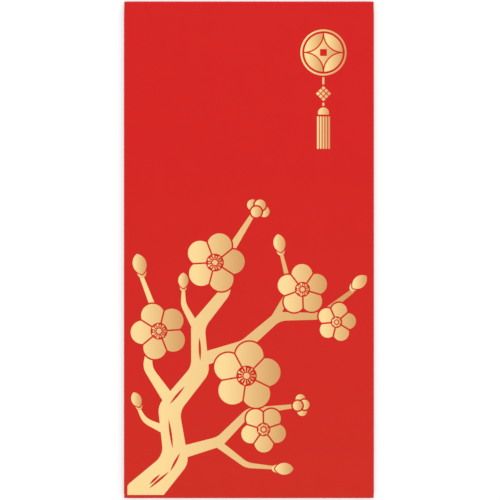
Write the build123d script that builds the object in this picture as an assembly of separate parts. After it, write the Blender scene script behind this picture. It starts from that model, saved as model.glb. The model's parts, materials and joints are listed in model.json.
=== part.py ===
"""Red gift envelope: one die-cut sheet of card, creased, folded and glued, with gold foil on its face.

It lies on its back. X runs across the width, Y up the height towards the closing crease, Z out of the face.
"""
import math
import os

from build123d import *

# Driving dimensions of the folded envelope, in millimetres and degrees
envelope_width = 84.0
envelope_height = 167.0
card = 0.30
glue_film = 0.08
pocket_gap = 0.40

# Die-cut outline of the flaps, the tab and the mouth of the pocket
flap_inset = 1.1
corner_setback = 0.10
corner_relief = 0.8
mouth_drop = 2.2
seam_setback = 1.0
tab_width = 12.0
tab_taper = 6.0
bottom_flap_length = 18.0
bottom_flap_taper = 9.0
closing_flap_length = 38.0
closing_flap_taper = 3.0
closing_flap_corner = 16.0
thumb_notch_radius = 10.0
thumb_notch_lip = 2.0
crease_lip = 0.15

# Glue films
side_glue_margin = 1.5
bottom_glue_width = 7.0
bottom_glue_margin = 2.0
bottom_glue_end = 14.0

# Gold foil, with the red gap that is left between neighbouring pieces of it
foil = 0.06
foil_gap = 0.55
art_margin = 1.2
art_height = 100.0

# Round medallion near the upper right corner
medallion_radius = 7.75
medallion_line = 0.60
medallion_from_right = 17.0
medallion_from_top = 17.3
rosette_margin = 0.70
rosette_gap = 0.45
coin_hole = 2.3

# Knot and tassel under the medallion
cord_width = 0.70
upper_cord_length = 2.4
lower_cord_length = 1.0
knot_cell = 1.0
knot_gap = 0.30
knot_cells = 3
cap_width = 3.6
cap_height = 2.4
strand_count = 5
strand_width = 0.62
strand_gap = 0.32
strand_length = 11.0

# Plum branch: its foot, the bends of its strokes, and the longest of the bare slivers in its bark
trunk_width = 11.5
bend_radius = 6.0
bend_run_share = 0.45
crack_length = 10.0
crack_width = 0.80

# Plum blossom: five petals round an open heart with a pistil in it, and the diameter of the largest
blossom_diameter = 23.0
petal_count = 5
petal_share = 0.41
heart_share = 0.30
pistil_share = 0.09
side_petal_turn = 58.0

# Bud: half the width of the largest, the radius of its sides in half widths, and the size of its calyx
bud_half_width = 2.3
bud_curve = 1.7
calyx_share = 0.8

# Height levels of the layers, from the surface that the envelope lies on
back_floor = card + glue_film
tab_floor = back_floor + card + glue_film
front_floor = tab_floor + card + pocket_gap
front_top = front_floor + card

# Outer radii of the folds, each of which joins one lower layer to the front panel
end_fold_radius = front_top / 2
left_fold_radius = (front_top - tab_floor) / 2
right_fold_radius = (front_top - back_floor) / 2

# Edges and fold lines in the plane of the envelope
left_edge = -envelope_width / 2
right_edge = envelope_width / 2
bottom_edge = -envelope_height / 2
top_edge = envelope_height / 2
left_line = left_edge + left_fold_radius
right_line = right_edge - right_fold_radius
bottom_line = bottom_edge + end_fold_radius
top_line = top_edge - end_fold_radius
pocket_bottom = bottom_line + corner_relief
pocket_mouth = top_line - mouth_drop
flap_half_width = envelope_width / 2 - flap_inset


def block(x_low, x_high, y_low, y_high):
    """Flat rectangle between two pairs of edges."""
    middle = Pos((x_low + x_high) / 2, (y_low + y_high) / 2)
    return middle * Rectangle(x_high - x_low, y_high - y_low)


def outline(*points):
    """Flat face inside straight edges."""
    return make_face(Polyline(*points, close=True))


def layer(face, floor, thickness):
    """A flat face raised to its level and given its thickness."""
    return Pos(0, 0, floor) * extrude(face, thickness)


def half_tube(radius, outward):
    """Section of a fold: half a ring of card, bulging outward along the first axis."""
    ring = Circle(radius) - Circle(radius - card)
    return ring & (Pos(outward * radius / 2, 0) * Rectangle(radius, 2 * radius))


def side_fold(radius, outward, line, floor):
    """Fold down one side, from the bottom of the pocket to its mouth."""
    section = Plane.XZ * (Pos(line, floor + radius) * half_tube(radius, outward))
    length = pocket_mouth - pocket_bottom
    return Pos(0, pocket_bottom, 0) * extrude(section, -length)


def end_fold(outward, line, lip):
    """Fold across one end, with a short flat lip where the flap carries on."""
    section = Pos(line, end_fold_radius) * half_tube(end_fold_radius, outward)
    if lip:
        section += block(line - lip, line, 0, card)
    return Pos(-flap_half_width, 0, 0) * extrude(Plane.YZ * section, 2 * flap_half_width)


# Card panels between the creases

def front_panel():
    """Face of the envelope: its corners, where no fold begins, stop just short of the full outline."""
    face = block(
        left_edge + corner_setback,
        right_edge - corner_setback,
        bottom_edge + corner_setback,
        top_edge - corner_setback,
    )
    face -= block(left_edge, left_line, pocket_bottom, pocket_mouth)
    face -= block(right_line, right_edge, pocket_bottom, pocket_mouth)
    face -= block(-flap_half_width, flap_half_width, bottom_edge, bottom_line)
    face -= block(-flap_half_width, flap_half_width, top_line, top_edge)
    return layer(face, front_floor, card)


def back_panel():
    """Back of the pocket, with a thumb notch in the middle of its mouth edge."""
    face = block(left_edge + seam_setback, right_line, pocket_bottom, pocket_mouth)
    face -= Pos(0, pocket_mouth) * Circle(thumb_notch_radius)
    lips = [corner for corner in face.vertices()
            if abs(corner.Y - pocket_mouth) < card and abs(corner.X) < thumb_notch_radius + card]
    return layer(fillet(lips, thumb_notch_lip), back_floor, card)


def side_glue_tab():
    """Tab along the left fold, cut back at both ends, glued inside the back panel."""
    face = outline(
        (left_line, pocket_bottom),
        (left_line + tab_width, pocket_bottom + tab_taper),
        (left_line + tab_width, pocket_mouth - tab_taper),
        (left_line, pocket_mouth),
    )
    return layer(face, tab_floor, card)


def bottom_flap():
    """Flap along the bottom fold, with slanted ends, glued outside the back panel."""
    free_edge = bottom_line + bottom_flap_length
    face = outline(
        (-flap_half_width, bottom_line),
        (flap_half_width, bottom_line),
        (flap_half_width - bottom_flap_taper, free_edge),
        (bottom_flap_taper - flap_half_width, free_edge),
    )
    return layer(face, 0, card)


def closing_flap():
    """Free flap that folds over the mouth of the pocket, with a rounded tip."""
    root = top_line - crease_lip
    tip = root - closing_flap_length
    face = outline(
        (-flap_half_width, root),
        (flap_half_width, root),
        (flap_half_width - closing_flap_taper, tip),
        (closing_flap_taper - flap_half_width, tip),
    )
    tip_corners = face.vertices().group_by(Axis.Y)[0]
    return layer(fillet(tip_corners, closing_flap_corner), 0, card)


# Dried glue

def side_seam_glue():
    """Film between the back panel and the side glue tab."""
    face = block(
        left_edge + seam_setback + side_glue_margin,
        left_line + tab_width - side_glue_margin,
        pocket_bottom + tab_taper,
        pocket_mouth - tab_taper,
    )
    return layer(face, back_floor + card, glue_film)


def bottom_flap_glue():
    """Film between the bottom flap and the back panel, near the flap's free edge."""
    upper = bottom_line + bottom_flap_length - bottom_glue_margin
    reach = flap_half_width - bottom_glue_end
    return layer(block(-reach, reach, upper - bottom_glue_width, upper), card, glue_film)


# Gold foil on the face

rosette_radius = medallion_radius - medallion_line - rosette_margin
medallion_x = right_edge - medallion_from_right
medallion_y = top_edge - medallion_from_top
art_left = left_edge + art_margin
art_width = envelope_width - 2 * art_margin
art_bottom = bottom_edge + art_margin
art_field = block(art_left, art_left + art_width, art_bottom, art_bottom + art_height)


def stamp(face):
    """A flat figure stamped in foil on the front panel."""
    return layer(face, front_top, foil)


def at_medallion(face):
    """Place a figure that is drawn round the origin on the medallion."""
    return Pos(medallion_x, medallion_y) * face


def medallion_ring():
    """Thin ring round the medallion."""
    return stamp(at_medallion(Circle(medallion_radius) - Circle(medallion_radius - medallion_line)))


def rosette_centres():
    """Centres of the four circles that cut the rosette into petals."""
    return [Pos(x * rosette_radius, y * rosette_radius) for x in (-1, 1) for y in (-1, 1)]


def medallion_petals():
    """Four pointed petals, each the overlap of two equal circles."""
    petals = Sketch()
    for centre in rosette_centres():
        petals += Circle(rosette_radius) & (centre * Circle(rosette_radius - rosette_gap / 2))
    return stamp(at_medallion(petals))


def medallion_core():
    """Hollow-sided star between the petals, with the square hole of an old coin."""
    star = Circle(rosette_radius) - Rectangle(coin_hole, coin_hole)
    for centre in rosette_centres():
        star -= centre * Circle(rosette_radius + rosette_gap / 2)
    return stamp(at_medallion(star))


knot_pitch = knot_cell + knot_gap
knot_side = knot_cells * knot_pitch - knot_gap
knot_reach = knot_side / math.sqrt(2)
upper_cord_top = medallion_y - medallion_radius - foil_gap
knot_top = upper_cord_top - upper_cord_length - foil_gap
lower_cord_top = knot_top - 2 * knot_reach - foil_gap
cap_top = lower_cord_top - lower_cord_length - foil_gap
strand_top = cap_top - cap_height - foil_gap


def tassel_cord():
    """Short runs of cord above and below the knot."""
    half = cord_width / 2
    left = medallion_x - half
    right = medallion_x + half
    cord = block(left, right, upper_cord_top - upper_cord_length, upper_cord_top)
    cord += block(left, right, lower_cord_top - lower_cord_length, lower_cord_top)
    return stamp(cord)


def tassel_knot():
    """Square lattice knot, standing on its corner."""
    cell = Rectangle(knot_cell, knot_cell)
    cells = GridLocations(knot_pitch, knot_pitch, knot_cells, knot_cells) * cell
    lattice = Rot(0, 0, 45) * Sketch(children=list(cells))
    return stamp(Pos(medallion_x, knot_top - knot_reach) * lattice)


def tassel_cap():
    """Domed cap that gathers the strands."""
    half = cap_width / 2
    base = Line((-half, -cap_height), (half, -cap_height))
    dome = ThreePointArc((half, -cap_height), (0, 0), (-half, -cap_height))
    return stamp(Pos(medallion_x, cap_top) * make_face(base + dome))


def tassel_fringe():
    """Row of hanging strands."""
    pitch = strand_width + strand_gap
    strand = SlotOverall(strand_length, strand_width, 90)
    strands = GridLocations(pitch, strand_length, strand_count, 1) * strand
    return stamp(Pos(medallion_x, strand_top - strand_length / 2) * Sketch(children=list(strands)))


# Plum branch: places are shares of the art field, and sizes are shares of the largest of their kind
trunk = [
    (0.06, 0.00, 1.00), (0.20, 0.12, 0.78), (0.17, 0.29, 0.66), (0.30, 0.42, 0.56),
    (0.29, 0.57, 0.42), (0.40, 0.68, 0.33), (0.43, 0.83, 0.23), (0.53, 0.96, 0.11),
]
right_bough = [
    (0.295, 0.452, 0.40), (0.48, 0.50, 0.35), (0.62, 0.60, 0.28), (0.79, 0.60, 0.21), (0.95, 0.70, 0.11),
]
left_twig = [(0.18, 0.31, 0.37), (0.08, 0.43, 0.26), (0.12, 0.60, 0.19), (0.05, 0.75, 0.11)]
lower_twig = [(0.19, 0.135, 0.38), (0.38, 0.18, 0.30), (0.50, 0.28, 0.23), (0.70, 0.30, 0.11)]
upper_shoot = [(0.60, 0.585, 0.23), (0.67, 0.69, 0.17), (0.63, 0.82, 0.09)]
lower_shoot = [(0.36, 0.18, 0.23), (0.49, 0.10, 0.17), (0.62, 0.09, 0.09)]
left_spur = [(0.15, 0.22, 0.24), (0.07, 0.25, 0.16), (0.04, 0.30, 0.08)]
trunk_spur = [(0.29, 0.55, 0.24), (0.23, 0.64, 0.16), (0.23, 0.70, 0.08)]
blossoms = [
    (0.49, 0.40, 1.00, 10), (0.13, 0.55, 0.83, 40), (0.36, 0.78, 0.87, 75),
    (0.72, 0.69, 0.74, 20), (0.56, 0.22, 0.67, 55), (0.86, 0.58, 0.57, 5),
]
half_blossoms = [(0.53, 0.95, 0.39, 60), (0.70, 0.30, 0.35, 8)]
buds = [
    (0.05, 0.775, 1.00, 105), (0.955, 0.715, 0.87, 40), (0.625, 0.845, 0.87, 100),
    (0.645, 0.088, 0.87, 0), (0.037, 0.32, 0.74, 112), (0.23, 0.72, 0.74, 90),
]
cracks = [
    (0.13, 0.05, 0.90, 40), (0.196, 0.11, 0.70, 62), (0.178, 0.205, 1.00, 98), (0.205, 0.335, 0.80, 50),
    (0.298, 0.49, 0.80, 92), (0.112, 0.052, 0.50, 43),
]


def on_field(across, up):
    """Point of the art field from its shares across and up."""
    return Vector(art_left + across * art_width, art_bottom + up * art_height)


def soft_line(points):
    """Straight runs joined by arcs, each as large as the bend radius or the shorter of its runs allows."""
    runs = [after - before for before, after in zip(points, points[1:])]
    radii = []
    for before, after in zip(runs, runs[1:]):
        half_turn = math.radians(before.get_angle(after)) / 2
        room = bend_run_share * min(before.length, after.length) / math.tan(half_turn)
        radii.append(min(bend_radius, room))
    return FilletPolyline(*points, radius=radii)


def brush_stroke(route):
    """Tapered stroke in straight runs with rounded bends and round ends."""
    points = [on_field(across, up) for across, up, share in route]
    halves = [trunk_width * share / 2 for across, up, share in route]
    ahead = points[1:] + points[-1:]
    behind = points[:1] + points[:-1]
    along = [(after - before).normalized() for after, before in zip(ahead, behind)]
    aside = [Vector(-way.Y, way.X) for way in along]
    left = [point + way * half for point, way, half in zip(points, aside, halves)]
    right = [point - way * half for point, way, half in zip(points, aside, halves)]
    root_end = ThreePointArc(right[0], points[0] - along[0] * halves[0], left[0])
    tip_end = ThreePointArc(left[-1], points[-1] + along[-1] * halves[-1], right[-1])
    return make_face(soft_line(left) + tip_end + soft_line(right[::-1]) + root_end)


def bark_crack(across, up, share, turn):
    """Pointed sliver left bare in the trunk, bounded by two arcs."""
    half = crack_length * share / 2
    upper = ThreePointArc((-half, 0), (0, crack_width / 2), (half, 0))
    lower = ThreePointArc((half, 0), (0, -crack_width / 2), (-half, 0))
    return Pos(on_field(across, up)) * (Rot(0, 0, turn) * make_face(upper + lower))


def petal_places(radius, turn):
    """Places of the petals of a blossom, each turned to face outward."""
    reach = radius * (1 - petal_share)
    return PolarLocations(reach, petal_count, turn)


def blossom_cover(across, up, share, turn):
    """Area that a blossom takes up, with the gap round it."""
    radius = blossom_diameter * share / 2
    cover = Circle(radius * (1 - petal_share))
    for place in petal_places(radius, turn):
        cover += place * Circle(radius * petal_share + foil_gap)
    return Pos(on_field(across, up)) * cover


def blossom(across, up, share, turn):
    """Five round petals parted by gaps, and the pistil in the open heart."""
    radius = blossom_diameter * share / 2
    petals = Sketch()
    for place in petal_places(radius, turn):
        petals += place * Circle(radius * petal_share)
    for step in range(petal_count):
        parting = turn + (step + 0.5) * 360 / petal_count
        petals -= Rot(0, 0, parting) * (Pos(radius / 2, 0) * Rectangle(radius, foil_gap))
    petals -= Circle(radius * heart_share)
    petals += Circle(radius * pistil_share)
    return Pos(on_field(across, up)) * petals


def bud_shape(half_width, grown):
    """Pointed oval of a bud, the overlap of two circles, grown all round."""
    curve = half_width * bud_curve
    shift = curve - half_width
    return (Pos(0, shift) * Circle(curve + grown)) & (Pos(0, -shift) * Circle(curve + grown))


def calyx_shape(half_width, grown):
    """Round calyx behind a bud, grown all round."""
    return Pos(-half_width, 0) * Circle(half_width * calyx_share + grown)


def bud_cover(across, up, share, turn):
    """Area that a bud and its calyx take up, with the gap round them."""
    half_width = bud_half_width * share
    cover = bud_shape(half_width, foil_gap) + calyx_shape(half_width, foil_gap)
    return Pos(on_field(across, up)) * (Rot(0, 0, turn) * cover)


def bud(across, up, share, turn):
    """Pointed bud in its calyx."""
    half_width = bud_half_width * share
    calyx = calyx_shape(half_width, 0) - bud_shape(half_width, foil_gap)
    return Pos(on_field(across, up)) * (Rot(0, 0, turn) * (bud_shape(half_width, 0) + calyx))


def half_blossom_petals(diameter, grown):
    """Front petal and two side petals of a blossom seen from its side, grown all round."""
    radius = diameter / 2
    sides = Sketch()
    petal = Pos(radius * (1 - petal_share), 0) * Circle(radius * petal_share + grown)
    for turn in (-side_petal_turn, side_petal_turn):
        sides += Rot(0, 0, turn) * petal
    return petal, sides


def half_blossom_cover(across, up, share, turn):
    """Area that a half-open blossom takes up, with the gap round it."""
    diameter = blossom_diameter * share
    front, sides = half_blossom_petals(diameter, foil_gap)
    cover = front + sides + Circle(diameter * calyx_share / 4 + foil_gap)
    return Pos(on_field(across, up)) * (Rot(0, 0, turn) * cover)


def half_blossom(across, up, share, turn):
    """Half-open blossom: the front petal over two side petals, on a round calyx."""
    diameter = blossom_diameter * share
    front, sides = half_blossom_petals(diameter, 0)
    front_cover = half_blossom_petals(diameter, foil_gap)[0]
    calyx = Circle(diameter * calyx_share / 4)
    calyx_cover = Circle(diameter * calyx_share / 4 + foil_gap)
    figure = (front + (sides - front_cover)) - calyx_cover + calyx
    return Pos(on_field(across, up)) * (Rot(0, 0, turn) * figure)


def plum_branch():
    """Trunk, bough and twigs, cut clear of the blossoms and buds in front of them."""
    branch = brush_stroke(trunk)
    for route in (right_bough, left_twig, lower_twig, upper_shoot, lower_shoot, left_spur, trunk_spur):
        branch += brush_stroke(route)
    for crack in cracks:
        branch -= bark_crack(*crack)
    for flower in blossoms:
        branch -= blossom_cover(*flower)
    for flower in half_blossoms:
        branch -= half_blossom_cover(*flower)
    for place in buds:
        branch -= bud_cover(*place)
    return stamp(branch & art_field)


def plum_blossom(index):
    """One blossom, cut clear of those that lie in front of it."""
    flower = blossom(*blossoms[index])
    for front in blossoms[:index]:
        flower -= blossom_cover(*front)
    return stamp(flower & art_field)


def plum_buds():
    """Buds and half-open blossoms at the tips of the twigs."""
    group = Sketch()
    for place in buds:
        group += bud(*place)
    for flower in half_blossoms:
        group += half_blossom(*flower)
    for flower in blossoms:
        group -= blossom_cover(*flower)
    return stamp(group & art_field)


nodes = {
    "front_panel": front_panel(),
    "back_panel": back_panel(),
    "side_glue_tab": side_glue_tab(),
    "bottom_flap": bottom_flap(),
    "closing_flap": closing_flap(),
    "left_fold": side_fold(left_fold_radius, -1, left_line, tab_floor),
    "right_fold": side_fold(right_fold_radius, 1, right_line, back_floor),
    "bottom_fold": end_fold(-1, bottom_line, 0),
    "closing_crease": end_fold(1, top_line, crease_lip),
    "side_seam_glue": side_seam_glue(),
    "bottom_flap_glue": bottom_flap_glue(),
    "medallion_ring": medallion_ring(),
    "medallion_petals": medallion_petals(),
    "medallion_core": medallion_core(),
    "tassel_cord": tassel_cord(),
    "tassel_knot": tassel_knot(),
    "tassel_cap": tassel_cap(),
    "tassel_fringe": tassel_fringe(),
    "plum_branch": plum_branch(),
    "plum_buds": plum_buds(),
}
for index in range(len(blossoms)):
    nodes[f"plum_blossom_{index + 1}"] = plum_blossom(index)

os.makedirs("parts", exist_ok=True)
for name, shape in nodes.items():
    export_step(shape, f"parts/{name}.step")
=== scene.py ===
import json
import math

import bmesh
import bpy
from mathutils import Matrix, Vector


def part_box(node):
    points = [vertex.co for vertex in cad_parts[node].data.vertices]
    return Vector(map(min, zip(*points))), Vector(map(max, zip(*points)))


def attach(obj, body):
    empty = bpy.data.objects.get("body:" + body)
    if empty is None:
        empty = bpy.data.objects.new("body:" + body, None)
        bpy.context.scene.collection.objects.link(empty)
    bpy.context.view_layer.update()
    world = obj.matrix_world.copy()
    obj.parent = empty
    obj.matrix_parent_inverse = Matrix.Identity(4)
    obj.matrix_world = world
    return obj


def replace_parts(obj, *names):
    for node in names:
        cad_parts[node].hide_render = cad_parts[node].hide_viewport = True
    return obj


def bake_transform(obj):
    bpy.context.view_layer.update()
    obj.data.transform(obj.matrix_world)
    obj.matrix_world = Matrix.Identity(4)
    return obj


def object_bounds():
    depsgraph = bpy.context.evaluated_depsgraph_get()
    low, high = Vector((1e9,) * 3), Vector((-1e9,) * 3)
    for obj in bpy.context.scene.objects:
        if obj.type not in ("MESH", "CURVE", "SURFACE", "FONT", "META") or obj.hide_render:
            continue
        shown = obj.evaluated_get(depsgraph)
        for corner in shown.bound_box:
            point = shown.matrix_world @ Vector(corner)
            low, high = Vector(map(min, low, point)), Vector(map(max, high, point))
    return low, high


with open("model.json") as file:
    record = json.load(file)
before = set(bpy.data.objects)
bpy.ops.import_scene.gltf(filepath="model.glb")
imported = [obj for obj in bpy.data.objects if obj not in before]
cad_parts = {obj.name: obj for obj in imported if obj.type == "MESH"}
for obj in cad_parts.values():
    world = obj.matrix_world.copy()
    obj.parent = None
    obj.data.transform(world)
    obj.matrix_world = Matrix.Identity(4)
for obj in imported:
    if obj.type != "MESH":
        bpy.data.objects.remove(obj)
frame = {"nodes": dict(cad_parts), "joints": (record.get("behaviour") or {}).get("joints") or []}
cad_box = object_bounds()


# Front panel
# The face of the envelope: card printed red on its outside, bare board within, cut out with a steel die.
# Its four sides run on into the folds, and it bows a little between them, as folded card does. Its corners,
# which the folds stop short of, roll down with them.

face_low, face_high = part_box("front_panel")
card = face_high.z - face_low.z
left_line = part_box("left_fold")[1].x
right_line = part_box("right_fold")[0].x
bottom_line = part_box("bottom_fold")[1].y
top_line = frame["joints"][0]["pos_m"][1]
card_cell = 0.003
bow_height = 0.0005
ripple_height = 0.00006
roll_steps = 8
first_roll_step = 0.3


def linear(colour):
    """An sRGB hex colour as linear red, green, blue and alpha."""
    parts = [int(colour[i:i + 2], 16) / 255 for i in (1, 3, 5)]
    return [p / 12.92 if p <= 0.04045 else ((p + 0.055) / 1.055) ** 2.4 for p in parts] + [1.0]


def add_node(tree, kind, inputs=None, **settings):
    """Adds a node with its settings, and feeds each input with a value or with another node's socket."""
    node = tree.nodes.new(kind)
    for name, value in settings.items():
        setattr(node, name, value)
    for key, value in (inputs or {}).items():
        if isinstance(value, bpy.types.NodeSocket):
            tree.links.new(value, node.inputs[key])
        else:
            node.inputs[key].default_value = value
    return node


def new_material(name):
    """An empty node material, its tree, and the object coordinates that its patterns are drawn on."""
    material = bpy.data.materials.new(name)
    material.use_nodes = True
    material.node_tree.nodes.clear()
    place = add_node(material.node_tree, "ShaderNodeTexCoord").outputs["Object"]
    return material, material.node_tree, place


def per_metre(millimetres):
    """Scale of a texture whose features are this many millimetres across."""
    return 1000 / millimetres


def red_printed_card(name, cracked):
    """Coated card printed solid red under a matt varnish: an even colour, a soft sheen and a faint tooth.

    The red turns a little browner towards the foot of the sheet; the ink cracks in fine flecks at the folds.
    The tooth is drawn coarser than real fibres, so that it shows."""
    material, tree, place = new_material(name)
    height = add_node(tree, "ShaderNodeSeparateXYZ", {0: place}).outputs["Y"]
    warmth = add_node(tree, "ShaderNodeMapRange", {
        "Value": height, "From Min": 0.4 * face_high.y, "From Max": face_low.y,
    })
    ink = add_node(tree, "ShaderNodeMix", {
        "Factor": warmth.outputs["Result"], "A": linear("#D41A17"), "B": linear("#CE2719"),
    }, data_type="RGBA")
    mottle = add_node(tree, "ShaderNodeTexNoise", {
        "Vector": place, "Scale": per_metre(7.0), "Detail": 4.0, "Roughness": 0.6,
    })
    density = add_node(tree, "ShaderNodeMapRange", {
        "Value": mottle.outputs["Fac"], "To Min": 0.97, "To Max": 1.03,
    })
    colour = add_node(tree, "ShaderNodeHueSaturation", {
        "Color": ink.outputs["Result"], "Value": density.outputs["Result"],
    }).outputs["Color"]
    tooth = add_node(tree, "ShaderNodeTexNoise", {
        "Vector": place, "Scale": per_metre(0.45), "Detail": 3.0, "Roughness": 0.55,
    })
    if cracked:
        fleck = add_node(tree, "ShaderNodeTexNoise", {
            "Vector": place, "Scale": per_metre(0.16), "Detail": 2.0,
        })
        bare = add_node(tree, "ShaderNodeMapRange", {
            "Value": fleck.outputs["Fac"], "From Min": 0.64, "From Max": 0.80, "To Max": 0.3,
        })
        colour = add_node(tree, "ShaderNodeMix", {
            "Factor": bare.outputs["Result"], "A": colour, "B": linear("#EBC4B4"),
        }, data_type="RGBA").outputs["Result"]
    gloss = add_node(tree, "ShaderNodeMapRange", {
        "Value": tooth.outputs["Fac"], "To Min": 0.44, "To Max": 0.60,
    })
    bump = add_node(tree, "ShaderNodeBump", {
        "Height": tooth.outputs["Fac"], "Strength": 0.25, "Distance": 0.00002,
    })
    shader = add_node(tree, "ShaderNodeBsdfPrincipled", {
        "Base Color": colour, "Roughness": gloss.outputs["Result"], "Normal": bump.outputs["Normal"],
        "IOR": 1.5, "Specular IOR Level": 0.15,
    })
    add_node(tree, "ShaderNodeOutputMaterial", {"Surface": shader.outputs["BSDF"]})
    return material


def pulp_board(name, dark, light):
    """Uncoated board: dull, fibrous pulp, its fibres laid along the sheet by the paper machine."""
    material, tree, place = new_material(name)
    along = add_node(tree, "ShaderNodeMapping", {"Vector": place, "Scale": (1.0, 0.2, 1.0)})
    fibres = add_node(tree, "ShaderNodeTexNoise", {
        "Vector": along.outputs["Vector"], "Scale": per_metre(0.5), "Detail": 5.0, "Roughness": 0.65,
    })
    pulp = add_node(tree, "ShaderNodeMix", {
        "Factor": fibres.outputs["Fac"], "A": linear(dark), "B": linear(light),
    }, data_type="RGBA")
    bump = add_node(tree, "ShaderNodeBump", {
        "Height": fibres.outputs["Fac"], "Strength": 0.35, "Distance": 0.00003,
    })
    shader = add_node(tree, "ShaderNodeBsdfPrincipled", {
        "Base Color": pulp.outputs["Result"], "Roughness": 0.85, "Normal": bump.outputs["Normal"],
        "IOR": 1.5, "Specular IOR Level": 0.25,
    })
    add_node(tree, "ShaderNodeOutputMaterial", {"Surface": shader.outputs["BSDF"]})
    return material


# The inside is left warm white. The die drags a little ink over the cut edges, which look pink.
printed_card = red_printed_card("red_printed_card", cracked=False)
bare_board = pulp_board("bare_board", "#E6DDCB", "#F6F1E6")
cut_edge = pulp_board("cut_edge_of_board", "#CF8375", "#E6BCAE")


def bow(x, y):
    """How far the face stands above its flat level: a shallow crown with a slow ripple, none at the folds."""
    across = (2 * x - left_line - right_line) / (right_line - left_line)
    along = (2 * y - bottom_line - top_line) / (top_line - bottom_line)
    if abs(across) >= 1 or abs(along) >= 1:
        return 0.0
    ripple = math.sin(2 * math.pi * (x / 0.047 + y / 0.110) + 0.7)
    return (bow_height + ripple_height * ripple) * math.cos(math.pi / 2 * across) * (1 - along ** 4)


def new_piece(name, mesh, materials=()):
    """An object at the origin that shows a mesh, smooth where it bends and sharp at its cut edges."""
    mesh.name = name
    for material in materials:
        mesh.materials.append(material)
    mesh.shade_smooth()
    mesh.set_sharp_from_angle(angle=math.radians(30))
    piece = bpy.data.objects.new(name, mesh)
    bpy.context.scene.collection.objects.link(piece)
    return piece


def shaped_mesh(node, cell, lift, cuts=()):
    """A copy of a flat CAD node, cut into square cells and at more places, and lifted by a rule."""
    work = bmesh.new()
    work.from_mesh(frame["nodes"][node].data)
    bmesh.ops.remove_doubles(work, verts=work.verts, dist=1e-7)
    bmesh.ops.dissolve_limit(work, angle_limit=math.radians(0.5), verts=work.verts, edges=work.edges)
    low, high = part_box(node)
    grid = [(axis, step * cell) for axis in (0, 1)
            for step in range(math.ceil(low[axis] / cell), math.floor(high[axis] / cell) + 1)]
    for axis, place in grid + list(cuts):
        normal = Vector((axis == 0, axis == 1, 0))
        everything = work.verts[:] + work.edges[:] + work.faces[:]
        bmesh.ops.bisect_plane(work, geom=everything, dist=1e-7, plane_co=normal * place, plane_no=normal)
    for vert in work.verts:
        vert.co.z += lift(vert.co.x, vert.co.y)
    mesh = bpy.data.meshes.new(node)
    work.to_mesh(mesh)
    work.free()
    return mesh


def card_piece(name, mesh, printed_side, fold_lines):
    """A flat piece of card, printed on one side and bare on the other, with cut edges except at its folds."""
    piece = new_piece(name, mesh, [bare_board, printed_card, cut_edge])
    for face in mesh.polygons:
        on_fold = any(abs(face.center[axis] - line) < 1e-5 for axis, line in fold_lines)
        if abs(face.normal.z) < 0.5:
            face.material_index = 1 if on_fold else 2
        else:
            face.material_index = int(face.normal.z * printed_side > 0)
    return piece


def fold_radius(node):
    """Outer radius of a CAD fold."""
    low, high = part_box(node)
    return (high.z - low.z) / 2


creases = [(0, -1, left_line, fold_radius("left_fold")), (0, 1, right_line, fold_radius("right_fold")),
           (1, -1, bottom_line, fold_radius("bottom_fold")), (1, 1, top_line, fold_radius("closing_crease"))]
roll_cuts = [(axis, line + way * radius * math.sin(math.pi / 2 * (step + first_roll_step) / roll_steps))
             for axis, way, line, radius in creases for step in range(roll_steps)]
front = card_piece("front_panel_card", shaped_mesh("front_panel", card_cell, bow, roll_cuts), 1,
                   [(axis, line) for axis, way, line, radius in creases])
for vert in front.data.vertices:
    beyond = [(max(0.0, way * (vert.co[axis] - line)), radius) for axis, way, line, radius in creases]
    vert.co.z -= math.hypot(*(radius - math.sqrt(radius ** 2 - off ** 2) for off, radius in beyond))
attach(front, "envelope")
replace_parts(front, "front_panel")


# Side folds and bottom fold
# Creases where the one sheet of card turns over to the back: half tubes, printed outside and bare within.
# The card is scored on a press before it is folded, so each fold is straight and of an even radius.

fold_segments = 24
scored_card = red_printed_card("red_printed_card_scored", cracked=True)


def tree_sockets(tree, names):
    """Gives a geometry node tree its named inputs and its output, and returns the inputs' identifiers."""
    sockets = {}
    for name, kind in names.items():
        socket = tree.interface.new_socket(name, in_out="INPUT", socket_type="NodeSocket" + kind)
        sockets[name] = socket.identifier
    tree.interface.new_socket("Geometry", in_out="OUTPUT", socket_type="NodeSocketGeometry")
    return sockets


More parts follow.
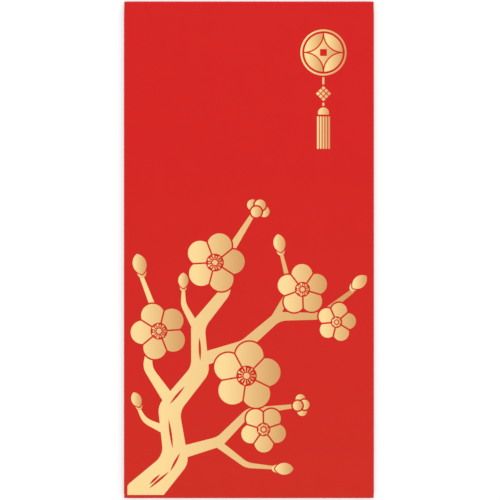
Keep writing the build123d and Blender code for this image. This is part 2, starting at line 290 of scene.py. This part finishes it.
def fold_tree():
    """Geometry nodes of a fold: an arc drawn out along the fold's length, and thickened inwards."""
    tree = bpy.data.node_groups.new("card_fold", "GeometryNodeTree")
    names = {"Radius": "Float", "Card": "Float", "Length": "Float",
             "Printed": "Material", "Bare": "Material", "Edge": "Material"}
    sockets = tree_sockets(tree, names)
    given = add_node(tree, "NodeGroupInput").outputs
    arc = add_node(tree, "GeometryNodeCurveArc", {
        "Resolution": fold_segments + 1, "Radius": given["Radius"],
        "Start Angle": math.pi / 2, "Sweep Angle": -math.pi,
    }, mode="RADIUS")
    line = add_node(tree, "GeometryNodeCurveToMesh", {"Curve": arc.outputs["Curve"]})
    along = add_node(tree, "ShaderNodeCombineXYZ", {"Z": given["Length"]})
    sheet = add_node(tree, "GeometryNodeExtrudeMesh", {
        "Mesh": line.outputs["Mesh"], "Offset": along.outputs["Vector"], "Offset Scale": 1.0,
    }, mode="EDGES")
    place = add_node(tree, "GeometryNodeInputPosition").outputs["Position"]
    flat = add_node(tree, "ShaderNodeVectorMath", {0: place, 1: (1.0, 1.0, 0.0)}, operation="MULTIPLY")
    outward = add_node(tree, "ShaderNodeVectorMath", {0: flat.outputs["Vector"]}, operation="NORMALIZE")
    inward = add_node(tree, "ShaderNodeMath", {0: given["Card"], 1: -1.0}, operation="MULTIPLY")
    wall = add_node(tree, "GeometryNodeExtrudeMesh", {
        "Mesh": sheet.outputs["Mesh"], "Offset": outward.outputs["Vector"],
        "Offset Scale": inward.outputs["Value"], "Individual": False,
    }, mode="FACES")
    both = add_node(tree, "GeometryNodeJoinGeometry", {"Geometry": wall.outputs["Mesh"]})
    tree.links.new(sheet.outputs["Mesh"], both.inputs["Geometry"])
    closed = add_node(tree, "GeometryNodeMergeByDistance", {
        "Geometry": both.outputs["Geometry"], "Distance": 1e-7,
    })
    whole = add_node(tree, "GeometryNodeRealizeInstances", {"Geometry": closed.outputs["Geometry"]})
    finish = add_node(tree, "GeometryNodeSetMaterial", {
        "Geometry": whole.outputs["Geometry"], "Material": given["Printed"],
    })
    finish = add_node(tree, "GeometryNodeSetMaterial", {
        "Geometry": finish.outputs["Geometry"], "Selection": wall.outputs["Top"], "Material": given["Bare"],
    })
    finish = add_node(tree, "GeometryNodeSetMaterial", {
        "Geometry": finish.outputs["Geometry"], "Selection": wall.outputs["Side"], "Material": given["Edge"],
    })
    add_node(tree, "NodeGroupOutput", {"Geometry": finish.outputs["Geometry"]})
    return tree, sockets


def mesh_from_tree(tree, values):
    """The mesh that a geometry node tree makes from its inputs, which are set by their identifiers."""
    holder = bpy.data.objects.new("tree_holder", bpy.data.meshes.new("tree_holder"))
    bpy.context.scene.collection.objects.link(holder)
    modifier = holder.modifiers.new("tree", "NODES")
    modifier.node_group = tree
    for identifier, value in values.items():
        modifier[identifier] = value
    evaluated = holder.evaluated_get(bpy.context.evaluated_depsgraph_get())
    mesh = bpy.data.meshes.new_from_object(evaluated)
    holder.modifiers.clear()
    bpy.data.objects.remove(holder)
    return mesh


fold_nodes, fold_inputs = fold_tree()


def fold_mesh(node, outward):
    """The mesh of one fold, laid along the CAD fold of that name and bulging outward."""
    low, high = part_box(node)
    radius = fold_radius(node)
    up = Vector((0, 0, 1))
    along = outward.cross(up)
    corners = [Vector((x, y, 0)) for x in (low.x, high.x) for y in (low.y, high.y)]
    start = min(corner.dot(along) for corner in corners)
    length = max(corner.dot(along) for corner in corners) - start
    edge = max(corner.dot(outward) for corner in corners) - radius
    middle = outward * edge + along * start + up * (low.z + radius)
    mesh = mesh_from_tree(fold_nodes, {
        fold_inputs["Radius"]: radius, fold_inputs["Card"]: card, fold_inputs["Length"]: length,
        fold_inputs["Printed"]: scored_card, fold_inputs["Bare"]: bare_board, fold_inputs["Edge"]: cut_edge,
    })
    turn = Matrix((outward, up, along)).transposed().to_4x4()
    mesh.transform(Matrix.Translation(middle) @ turn)
    work = bmesh.new()
    work.from_mesh(mesh)
    bmesh.ops.recalc_face_normals(work, faces=work.faces)
    work.to_mesh(mesh)
    work.free()
    return mesh


for node, outward in (("left_fold", Vector((-1, 0, 0))), ("right_fold", Vector((1, 0, 0))),
                      ("bottom_fold", Vector((0, -1, 0)))):
    fold = new_piece(node + "_card", fold_mesh(node, outward))
    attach(fold, "envelope")
    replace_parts(fold, node)


# Back panel, side tab and bottom flap
# The rest of the pocket: the back, the tab that is glued inside its free edge, and the flap that is glued
# over its foot. They are the same sheet of card, printed side down here, and all but flat.

slack_height = 0.00003


def slack(x, y):
    """The slow ripple of a glued sheet."""
    return slack_height * math.sin(2 * math.pi * (x / 0.061 - y / 0.083) + 1.9)


def level(x, y):
    """No lift, for card that lies on the table."""
    return 0.0


for node, lift, fold_line in (("back_panel", slack, (0, right_line)),
                              ("side_glue_tab", slack, (0, left_line)),
                              ("bottom_flap", level, (1, bottom_line))):
    panel = card_piece(node + "_card", shaped_mesh(node, card_cell, lift), -1, [fold_line])
    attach(panel, "envelope")
    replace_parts(panel, node)


# Dried glue
# Thin films of white craft glue, rolled on by machine: one down the side seam, one under the bottom flap.
# Each is squeezed out to a wavering edge, and dries to a cloudy skin.

glue_cell = 0.0015
glue_waver = 0.0005
glue_wave = 0.011


def dried_glue():
    """Dried white glue: cloudy and off white, with a low gloss."""
    material, tree, place = new_material("dried_glue")
    cloud = add_node(tree, "ShaderNodeTexNoise", {"Vector": place, "Scale": per_metre(2.0), "Detail": 3.0})
    skin = add_node(tree, "ShaderNodeMix", {
        "Factor": cloud.outputs["Fac"], "A": linear("#D9CFB4"), "B": linear("#EFE8D6"),
    }, data_type="RGBA")
    gloss = add_node(tree, "ShaderNodeMapRange", {
        "Value": cloud.outputs["Fac"], "To Min": 0.35, "To Max": 0.55,
    })
    shader = add_node(tree, "ShaderNodeBsdfPrincipled", {
        "Base Color": skin.outputs["Result"], "Roughness": gloss.outputs["Result"], "IOR": 1.47,
    })
    add_node(tree, "ShaderNodeOutputMaterial", {"Surface": shader.outputs["BSDF"]})
    return material


glue = dried_glue()
for node in ("side_seam_glue", "bottom_flap_glue"):
    low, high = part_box(node)
    middle = (low + high) / 2
    film_mesh = shaped_mesh(node, glue_cell, slack)
    for vert in film_mesh.vertices:
        from_middle = vert.co - middle
        for axis in (0, 1):
            wave = math.sin(2 * math.pi * from_middle[1 - axis] / glue_wave)
            pulled_in = glue_waver * (1 + wave) / 2
            vert.co[axis] -= from_middle[axis] * pulled_in / (high[axis] - middle[axis])
    film = new_piece(node + "_film", film_mesh, [glue])
    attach(film, "envelope")
    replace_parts(film, node)


# Closing flap and its crease
# The tongue of card that folds over the mouth of the pocket, with the crease that it turns on.
# Both are one sheet, joined here into one piece.

flap_mesh = shaped_mesh("closing_flap", card_cell, level)
flap_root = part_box("closing_flap")[1].y
for vert in flap_mesh.vertices:
    if vert.co.y > flap_root - card_cell / 100:
        vert.co.y = top_line
closing = card_piece("closing_flap_card", flap_mesh, -1, [(1, top_line)])
roll = new_piece("crease_roll", fold_mesh("closing_crease", Vector((0, 1, 0))))
with bpy.context.temp_override(active_object=closing, selected_editable_objects=[closing, roll]):
    bpy.ops.object.join()
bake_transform(closing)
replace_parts(closing, "closing_flap", "closing_crease")


# Gold foil
# Hot-stamped foil: a film of metal under gold lacquer, pressed on to the face with a heated die.
# It follows the bow of the card. A painted sheen runs across each figure, pale gold left, deep gold right.

foil_cell = 0.002


def gold_foil():
    """Stamped gold foil: a bright metal film, a sheen painted across each figure, the card's tooth showing.
    """
    material, tree, place = new_material("gold_foil")
    across = add_node(tree, "ShaderNodeUVMap", uv_map="tone").outputs["UV"]
    share = add_node(tree, "ShaderNodeSeparateXYZ", {0: across}).outputs["X"]
    # The ramp paints a sheen into the foil's colour, pale gold at each figure's left to deep gold at its
    # right.
    tone = add_node(tree, "ShaderNodeValToRGB", {"Fac": share})
    pale, deep = tone.color_ramp.elements
    pale.position, pale.color = 0.15, linear("#FCDB9A")
    deep.position, deep.color = 1.0, linear("#D59C63")
    tone.color_ramp.elements.new(0.6).color = linear("#E8BB7E")
    tooth = add_node(tree, "ShaderNodeTexNoise", {"Vector": place, "Scale": per_metre(0.5), "Detail": 2.0})
    haze = add_node(tree, "ShaderNodeTexNoise", {"Vector": place, "Scale": per_metre(9.0), "Detail": 3.0})
    gloss = add_node(tree, "ShaderNodeMapRange", {
        "Value": haze.outputs["Fac"], "To Min": 0.24, "To Max": 0.36,
    })
    bump = add_node(tree, "ShaderNodeBump", {
        "Height": tooth.outputs["Fac"], "Strength": 0.12, "Distance": 0.00002,
    })
    shader = add_node(tree, "ShaderNodeBsdfPrincipled", {
        "Base Color": tone.outputs["Color"], "Metallic": 1.0, "Roughness": gloss.outputs["Result"],
        "Normal": bump.outputs["Normal"],
    })
    add_node(tree, "ShaderNodeOutputMaterial", {"Surface": shader.outputs["BSDF"]})
    return material


def islands(work):
    """The corners of each separate solid of an open mesh, in groups."""
    seen = set()
    found = []
    for first in work.verts:
        if first in seen:
            continue
        seen.add(first)
        group = [first]
        for vert in group:
            near = [edge.other_vert(vert) for edge in vert.link_edges]
            group += [other for other in near if other not in seen]
            seen.update(near)
        found.append(group)
    return found


foil = gold_foil()


def foil_piece(name, mesh, each_solid=False):
    """A piece of foil on the bowed face. Its UV map places the painted sheen across its one figure or each
    solid.
    """
    work = bmesh.new()
    work.from_mesh(mesh)
    # The place across each figure, along which the painted sheen runs from pale to deep gold.
    tone = work.loops.layers.uv.new("tone")
    for figure in islands(work) if each_solid else [work.verts[:]]:
        left = min(vert.co.x for vert in figure)
        right = max(vert.co.x for vert in figure)
        for vert in figure:
            vert.co.z += bow(vert.co.x, vert.co.y)
            for loop in vert.link_loops:
                loop[tone].uv = ((vert.co.x - left) / (right - left), 0.5)
    work.to_mesh(mesh)
    work.free()
    piece = new_piece(name, mesh, [foil])
    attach(piece, "envelope")
    return piece


blossom_nodes = sorted(node for node in frame["nodes"] if node.startswith("plum_blossom"))
for node in ["medallion_ring", "medallion_petals", "medallion_core", "tassel_cord", "tassel_knot",
             "tassel_cap", "tassel_fringe", "plum_branch"] + blossom_nodes:
    figure = foil_piece(node + "_foil", shaped_mesh(node, foil_cell, level), node == "medallion_petals")
    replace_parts(figure, node)


# Buds
# Pointed buds and half-open blossoms of foil at the tips of the twigs. Each bud sits in a small cup, its
# calyx, which is stamped on to the end of the twig with a thin line of red left round the bud.

bud_reach = 0.0024
slip_reach = 0.0013
calyx_gap = 0.00035
calyx_share = 0.72
calyx_steps = 10
twig_end_slack = 1.01


def solids_of(node):
    """The corners of each separate solid of a flat CAD node, as points of the face."""
    work = bmesh.new()
    work.from_mesh(frame["nodes"][node].data)
    bmesh.ops.remove_doubles(work, verts=work.verts, dist=1e-7)
    solids = [[vert.co.xy for vert in group] for group in islands(work)]
    work.free()
    return solids


def middle_and_reach(points):
    """The middle of the box round some points of the face, and how far the furthest one is from it."""
    low = Vector([min(point[axis] for point in points) for axis in (0, 1)])
    high = Vector([max(point[axis] for point in points) for axis in (0, 1)])
    middle = (low + high) / 2
    return middle, max((point - middle).length for point in points)


def calyx_outline(bud, branch):
    """Outline of the cup at the foot of a bud.

    Its inside follows the two arcs of the bud at a gap. Its outside fits the hollow end of the twig, which
    may lie to one side, and closes in on the bud to both sides of it."""
    middle, half_length = middle_and_reach(bud)
    tip = max(bud, key=lambda point: (point - middle).length)
    twig = min(branch, key=lambda point: (point - middle).length)
    way = (tip - middle).normalized()
    if way.dot(twig - middle) < 0:
        way = -way
    aside = Vector((-way.y, way.x))
    half_width = max(aside.dot(point - middle) for point in bud)
    curve = (half_length ** 2 + half_width ** 2) / (2 * half_width)
    seat = middle + way * half_width
    seat_radius = min((point - seat).length for point in branch)
    twig_end = [point for point in branch if (point - seat).length < twig_end_slack * seat_radius]
    lean = aside.dot(middle_and_reach(twig_end)[0] - middle)
    calyx_half = calyx_share * half_width
    inside = []
    outside = []
    for step in range(-calyx_steps, calyx_steps + 1):
        off = calyx_half * math.sin(math.pi / 2 * step / calyx_steps)
        foot = math.sqrt((curve + calyx_gap) ** 2 - (abs(off) + curve - half_width) ** 2)
        end = half_width + math.sqrt(seat_radius ** 2 - off ** 2)
        from_twig = (off - lean) / (calyx_half - lean if off > lean else calyx_half + lean)
        rim = foot + (end - foot) * (1 - from_twig ** 4)
        inside.append(middle + aside * off + way * foot)
        outside.append(middle + aside * off + way * rim)
    return outside + inside[-2:0:-1]


foil_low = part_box("plum_buds")[0].z
foil_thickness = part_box("plum_buds")[1].z - foil_low
branch_points = [point for solid in solids_of("plum_branch") for point in solid]
calyx_mesh = bpy.data.meshes.new("bud_calyxes")
work = bmesh.new()
for solid in solids_of("plum_buds"):
    if middle_and_reach(solid)[1] > bud_reach:
        edge = [work.verts.new((*point, foil_low)) for point in calyx_outline(solid, branch_points)]
        raised = bmesh.ops.extrude_face_region(work, geom=[work.faces.new(edge)], use_keep_orig=True)["geom"]
        for vert in (part for part in raised if isinstance(part, bmesh.types.BMVert)):
            vert.co.z += foil_thickness
bmesh.ops.triangulate(work, faces=work.faces)
bmesh.ops.recalc_face_normals(work, faces=work.faces)
work.to_mesh(calyx_mesh)
work.free()
foil_piece("bud_calyxes", calyx_mesh, each_solid=True)

# The solids have thin slips of foil beside some buds, too small to stamp. They are left out here, and the
# full cups take their place.
bud_mesh = shaped_mesh("plum_buds", foil_cell, level)
work = bmesh.new()
work.from_mesh(bud_mesh)
for group in islands(work):
    if middle_and_reach([vert.co.xy for vert in group])[1] < slip_reach:
        bmesh.ops.delete(work, geom=group, context="VERTS")
work.to_mesh(bud_mesh)
work.free()
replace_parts(foil_piece("plum_buds_foil", bud_mesh, each_solid=True), "plum_buds")


# Stamens
# A ring of fine foil stamens in the open heart of each blossom: thin threads, long and short by turns,
# each with a round anther at its tip, a hair thicker. They are stamped with the rest of the foil.

stamen_count = 14
stamen_gap = 0.00035
thread_width = 0.00028
anther_radius = 0.00036
anther_sides = 20
anther_thickness_share = 1.2
short_stamen_share = 0.72


def stamen_tree():
    """Geometry nodes of a ring of stamens: a thread with its anther, repeated round a circle."""
    tree = bpy.data.node_groups.new("stamens", "GeometryNodeTree")
    names = {"Count": "Int", "Inner Reach": "Float", "Length": "Float", "Thread": "Float", "Anther": "Float",
             "Foil": "Float", "Material": "Material"}
    sockets = tree_sockets(tree, names)
    given = add_node(tree, "NodeGroupInput").outputs
    ring = add_node(tree, "GeometryNodeMeshCircle", {
        "Vertices": given["Count"], "Radius": given["Inner Reach"],
    })
    size = add_node(tree, "ShaderNodeCombineXYZ", {
        "X": given["Length"], "Y": given["Thread"], "Z": given["Foil"],
    })
    thread = add_node(tree, "GeometryNodeMeshCube", {"Size": size.outputs["Vector"]})
    half = add_node(tree, "ShaderNodeMath", {0: given["Length"], 1: 0.5}, operation="MULTIPLY")
    shift = add_node(tree, "ShaderNodeCombineXYZ", {"X": half.outputs["Value"]})
    thread = add_node(tree, "GeometryNodeTransform", {
        "Geometry": thread.outputs["Mesh"], "Translation": shift.outputs["Vector"],
    })
    depth = add_node(tree, "ShaderNodeMath", {
        0: given["Foil"], 1: anther_thickness_share,
    }, operation="MULTIPLY")
    rise = add_node(tree, "ShaderNodeMath", {
        0: given["Foil"], 1: (anther_thickness_share - 1) / 2,
    }, operation="MULTIPLY")
    anther = add_node(tree, "GeometryNodeMeshCylinder", {
        "Vertices": anther_sides, "Radius": given["Anther"], "Depth": depth.outputs["Value"],
    })
    tip = add_node(tree, "ShaderNodeCombineXYZ", {"X": given["Length"], "Z": rise.outputs["Value"]})
    anther = add_node(tree, "GeometryNodeTransform", {
        "Geometry": anther.outputs["Mesh"], "Translation": tip.outputs["Vector"],
    })
    stamen = add_node(tree, "GeometryNodeJoinGeometry", {"Geometry": thread.outputs["Geometry"]})
    tree.links.new(anther.outputs["Geometry"], stamen.inputs["Geometry"])
    index = add_node(tree, "GeometryNodeInputIndex").outputs["Index"]
    step = add_node(tree, "ShaderNodeMath", {0: 2 * math.pi, 1: given["Count"]}, operation="DIVIDE")
    angle = add_node(tree, "ShaderNodeMath", {0: index, 1: step.outputs["Value"]}, operation="MULTIPLY")
    turn = add_node(tree, "ShaderNodeCombineXYZ", {"Z": angle.outputs["Value"]})
    odd = add_node(tree, "ShaderNodeMath", {0: index, 1: 2.0}, operation="MODULO")
    shorter = add_node(tree, "ShaderNodeMapRange", {
        "Value": odd.outputs["Value"], "To Min": 1.0, "To Max": short_stamen_share,
    })
    scale = add_node(tree, "ShaderNodeCombineXYZ", {
        "X": shorter.outputs["Result"], "Y": shorter.outputs["Result"], "Z": 1.0,
    })
    wreath = add_node(tree, "GeometryNodeInstanceOnPoints", {
        "Points": ring.outputs["Mesh"], "Instance": stamen.outputs["Geometry"],
        "Rotation": turn.outputs["Vector"], "Scale": scale.outputs["Vector"],
    })
    whole = add_node(tree, "GeometryNodeRealizeInstances", {"Geometry": wreath.outputs["Instances"]})
    finish = add_node(tree, "GeometryNodeSetMaterial", {
        "Geometry": whole.outputs["Geometry"], "Material": given["Material"],
    })
    add_node(tree, "NodeGroupOutput", {"Geometry": finish.outputs["Geometry"]})
    return tree, sockets


stamen_nodes, stamen_inputs = stamen_tree()
for node in blossom_nodes:
    solids = solids_of(node)
    pistil = min(solids, key=lambda points: middle_and_reach(points)[1])
    centre, pistil_reach = middle_and_reach(pistil)
    heart_reach = min((point - centre).length for solid in solids if solid is not pistil for point in solid)
    inner = pistil_reach + stamen_gap
    mesh = mesh_from_tree(stamen_nodes, {
        stamen_inputs["Count"]: stamen_count, stamen_inputs["Inner Reach"]: inner,
        stamen_inputs["Length"]: heart_reach - stamen_gap - anther_radius - inner,
        stamen_inputs["Thread"]: thread_width, stamen_inputs["Anther"]: anther_radius,
        stamen_inputs["Foil"]: foil_thickness, stamen_inputs["Material"]: foil,
    })
    mesh.transform(Matrix.Translation((*centre, foil_low + foil_thickness / 2)))
    foil_piece(node.replace("plum_blossom", "stamens"), mesh)


# Floor, light and camera
# A plain white table under an even white sky, with one soft lamp from the upper right for a little shape.
# The camera looks straight down at the face, framed as the photograph is.

sky_level = 0.90
lamp_level = 0.12
lamp_spread = math.radians(60)
lamp_way = Vector((0.8, 0.95, 1.0)).normalized()
floor_half = 4.0
floor_glow = 0.34
photo_size = 500
photo_left, photo_right = 124.04, 373.93
photo_top, photo_bottom = 1.54, 497.98
lens = 120.0


def background_rays(tree):
    """1 for the rays that show a background, straight to the camera or by way of metal or glass, else 0."""
    ray = add_node(tree, "ShaderNodeLightPath").outputs
    shown = ray["Is Camera Ray"]
    for kind in ("Is Glossy Ray", "Is Transmission Ray"):
        either = add_node(tree, "ShaderNodeMath", {0: shown, 1: ray[kind]}, operation="MAXIMUM")
        shown = either.outputs["Value"]
    return shown


floor_mesh = bpy.data.meshes.new("floor")
floor_corners = [(x * floor_half, y * floor_half, 0) for x, y in ((-1, -1), (1, -1), (1, 1), (-1, 1))]
floor_mesh.from_pydata(floor_corners, [], [(0, 1, 2, 3)])
floor_paint, tree, _ = new_material("white_table")
matt = add_node(tree, "ShaderNodeBsdfDiffuse", {"Color": linear("#D8D8D8")})
strength = add_node(tree, "ShaderNodeMath", {0: background_rays(tree), 1: floor_glow}, operation="MULTIPLY")
glow = add_node(tree, "ShaderNodeEmission", {"Strength": strength.outputs["Value"]})
table = add_node(tree, "ShaderNodeAddShader", {0: matt.outputs["BSDF"], 1: glow.outputs["Emission"]})
add_node(tree, "ShaderNodeOutputMaterial", {"Surface": table.outputs["Shader"]})
floor_mesh.materials.append(floor_paint)
floor = bpy.data.objects.new("floor", floor_mesh)
bpy.context.scene.collection.objects.link(floor)

sky = bpy.data.worlds.new("sky")
sky.use_nodes = True
tree = sky.node_tree
tree.nodes.clear()
strength = add_node(tree, "ShaderNodeMapRange", {
    "Value": background_rays(tree), "To Min": sky_level, "To Max": 1.0,
})
light = add_node(tree, "ShaderNodeBackground", {
    "Color": linear("#FFFFFF"), "Strength": strength.outputs["Result"],
})
add_node(tree, "ShaderNodeOutputWorld", {"Surface": light.outputs["Background"]})
bpy.context.scene.world = sky

lamp_data = bpy.data.lights.new("soft_lamp", "SUN")
lamp_data.energy = lamp_level * math.pi / lamp_way.z
lamp_data.angle = lamp_spread
lamp = bpy.data.objects.new("soft_lamp", lamp_data)
lamp.location = lamp_way
lamp.rotation_euler = lamp_way.to_track_quat("Z", "Y").to_euler()
bpy.context.scene.collection.objects.link(lamp)

# The outline that the photograph shows is that of the folds, which reach out furthest at half their height.
camera_data = bpy.data.cameras.new("camera")
camera_data.lens = lens
camera_data.clip_start, camera_data.clip_end = 0.01, 20.0
outline_size = cad_box[1] - cad_box[0]
pixel = (outline_size.x / (photo_right - photo_left) + outline_size.y / (photo_bottom - photo_top)) / 2
camera = bpy.data.objects.new("camera", camera_data)
camera.location = (
    (photo_size - photo_left - photo_right) / 2 * pixel,
    (photo_top + photo_bottom - photo_size) / 2 * pixel,
    face_high.z / 2 + pixel * photo_size * lens / camera_data.sensor_width,
)
bpy.context.scene.collection.objects.link(camera)
bpy.context.scene.camera = camera
bpy.context.scene.view_settings.view_transform = "Standard"
